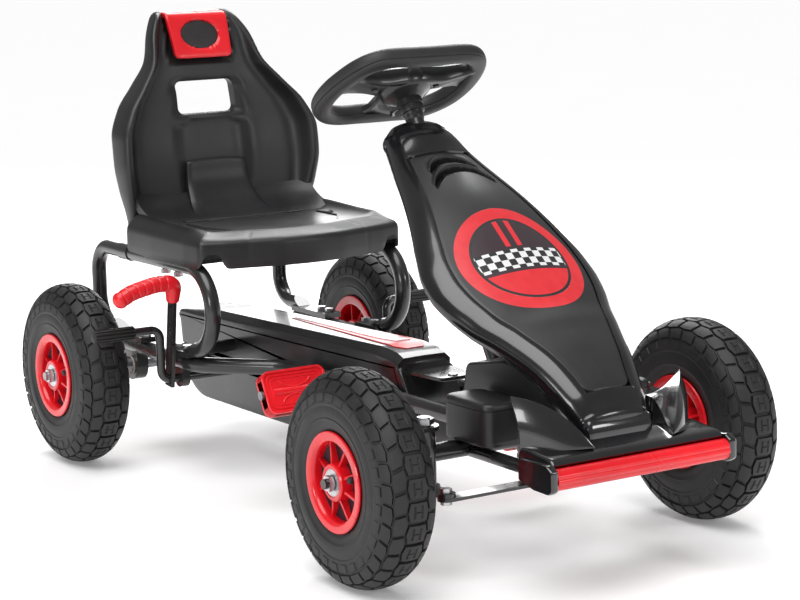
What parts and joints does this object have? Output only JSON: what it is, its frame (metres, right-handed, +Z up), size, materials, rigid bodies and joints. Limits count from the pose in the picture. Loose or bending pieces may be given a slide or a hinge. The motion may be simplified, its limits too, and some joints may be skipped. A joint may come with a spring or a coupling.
{
  "type": "pedal go kart",
  "caption": "Child's pedal kart: tube frame, chain drive, steered front wheels with pneumatic tyres, hand brake, bucket seat and moulded nose.",
  "frame": {"origin": "middle of the bounding box, on the floor under the tyres", "axes": "+X forward, +Y to the driver's left, +Z up"},
  "size_m": [1.136, 0.602, 0.639],
  "materials": {
    "frame_paint": "satin black powder coat",
    "zinc": "bright zinc plate",
    "bare_steel": "oiled bare steel",
    "nylon": "natural nylon",
    "gloss_black": "gloss black moulding",
    "satin_panel": "satin dark grey inlay",
    "matte_black": "fine grained black moulding",
    "seat_plastic": "grained black moulding",
    "red_plastic": "bright red moulding",
    "badge_black": "dark moulded badge",
    "wheel_grip": "grained grip",
    "spoke_plastic": "satin black moulding",
    "soft_rubber": "ribbed rubber",
    "tyre": "black tyre rubber"
  },
  "bodies": {
    "frame": {"rail_left": "frame_paint", "rail_right": "frame_paint", "rear_crossbar": "frame_paint", "front_beam": "frame_paint", "seat_hoop_left": "frame_paint", "seat_hoop_right": "frame_paint", "frame_bolts": "zinc", "rear_bearing_brackets": "frame_paint", "crank_brackets": "frame_paint", "brake_hangers": "frame_paint", "nylon_bushes": "nylon", "column_support": "frame_paint", "kingpins": "zinc", "chain_guard_upper": "gloss_black", "chain_guard_lower": "matte_black", "drive_chain": "bare_steel", "hood_shell": "gloss_black", "hood_panel": "satin_panel", "hood_base": "matte_black", "side_pod_left": "matte_black", "side_pod_right": "matte_black", "bumper_shell": "gloss_black", "bumper_fin_left": "gloss_black", "bumper_fin_right": "gloss_black", "bumper_bar": "red_plastic", "bumper_end_caps": "matte_black", "seat_shell": "seat_plastic", "headrest_panel": "red_plastic", "headrest_badge": "badge_black"},
    "steering": {"steering_rim": "wheel_grip", "steering_spokes": "spoke_plastic", "steering_collar": "matte_black", "steering_shaft": "frame_paint"},
    "knuckle_left": {"knuckle_left": "frame_paint", "axle_nut_left": "zinc"},
    "knuckle_right": {"knuckle_right": "frame_paint", "axle_nut_right": "zinc"},
    "tie_rod": {"tie_rod": "frame_paint", "tie_rod_bolts": "zinc"},
    "wheel_front_left": {"tyre_front_left": "tyre", "rim_front_left": "red_plastic", "bearings_front_left": "zinc"},
    "wheel_front_right": {"tyre_front_right": "tyre", "rim_front_right": "red_plastic", "bearings_front_right": "zinc"},
    "rear_axle": {"rear_axle": "bare_steel", "rear_sprocket": "bare_steel", "rear_axle_nuts": "zinc", "tyre_rear_left": "tyre", "rim_rear_left": "red_plastic"},
    "wheel_rear_right": {"tyre_rear_right": "tyre", "rim_rear_right": "red_plastic", "bearings_rear_right": "zinc"},
    "crank": {"crank": "bare_steel", "chainring": "bare_steel"},
    "pedal_left": {"pedal_left": "red_plastic"},
    "pedal_right": {"pedal_right": "red_plastic"},
    "brake": {"brake_lever": "frame_paint", "brake_grip": "red_plastic", "brake_sleeves": "soft_rubber"}
  },
  "joints": [
    {"name": "steering_turn", "type": "hinge", "parent": "frame", "child": "steering", "pos_m": [0.3445, 0, 0.1], "axis": [-0.515, 0, 0.8572], "range_deg": [-25, 25]},
    {"name": "knuckle_left_turn", "type": "hinge", "parent": "frame", "child": "knuckle_left", "pos_m": [0.352, 0.162, 0.13], "axis": [0, 0, 1], "range_deg": [-25, 25]},
    {"name": "knuckle_right_turn", "type": "hinge", "parent": "frame", "child": "knuckle_right", "pos_m": [0.352, -0.162, 0.13], "axis": [0, 0, 1], "range_deg": [-25, 25]},
    {"name": "tie_rod_turn", "type": "hinge", "parent": "knuckle_right", "child": "tie_rod", "pos_m": [0.397, -0.162, 0.1], "axis": [0, 0, 1], "range_deg": [-25, 25]},
    {"name": "wheel_front_left_spin", "type": "hinge", "parent": "knuckle_left", "child": "wheel_front_left", "pos_m": [0.352, 0.2535, 0.13], "axis": [0, 1, 0], "continuous": true},
    {"name": "wheel_front_right_spin", "type": "hinge", "parent": "knuckle_right", "child": "wheel_front_right", "pos_m": [0.352, -0.2535, 0.13], "axis": [0, 1, 0], "continuous": true},
    {"name": "rear_axle_spin", "type": "hinge", "parent": "frame", "child": "rear_axle", "pos_m": [-0.438, 0, 0.13], "axis": [0, 1, 0], "continuous": true},
    {"name": "wheel_rear_right_spin", "type": "hinge", "parent": "rear_axle", "child": "wheel_rear_right", "pos_m": [-0.438, -0.2535, 0.13], "axis": [0, 1, 0], "continuous": true},
    {"name": "crank_spin", "type": "hinge", "parent": "frame", "child": "crank", "pos_m": [0.072, 0, 0.13], "axis": [0, 1, 0], "continuous": true},
    {"name": "pedal_left_spin", "type": "hinge", "parent": "crank", "child": "pedal_left", "pos_m": [0.14196, 0.138, 0.1003], "axis": [0, 1, 0], "continuous": true},
    {"name": "pedal_right_spin", "type": "hinge", "parent": "crank", "child": "pedal_right", "pos_m": [0.00204, -0.138, 0.1597], "axis": [0, 1, 0], "continuous": true},
    {"name": "brake_pull", "type": "hinge", "parent": "frame", "child": "brake", "pos_m": [-0.288, 0, 0.134], "axis": [0, -1, 0], "range_deg": [0, 23]}
  ],
  "couplings": [
    {"joint": "knuckle_left_turn", "follows": "steering_turn", "ratio": 1},
    {"joint": "knuckle_right_turn", "follows": "steering_turn", "ratio": 1},
    {"joint": "tie_rod_turn", "follows": "steering_turn", "ratio": -1},
    {"joint": "crank_spin", "follows": "rear_axle_spin", "ratio": 0.66667}
  ]
}
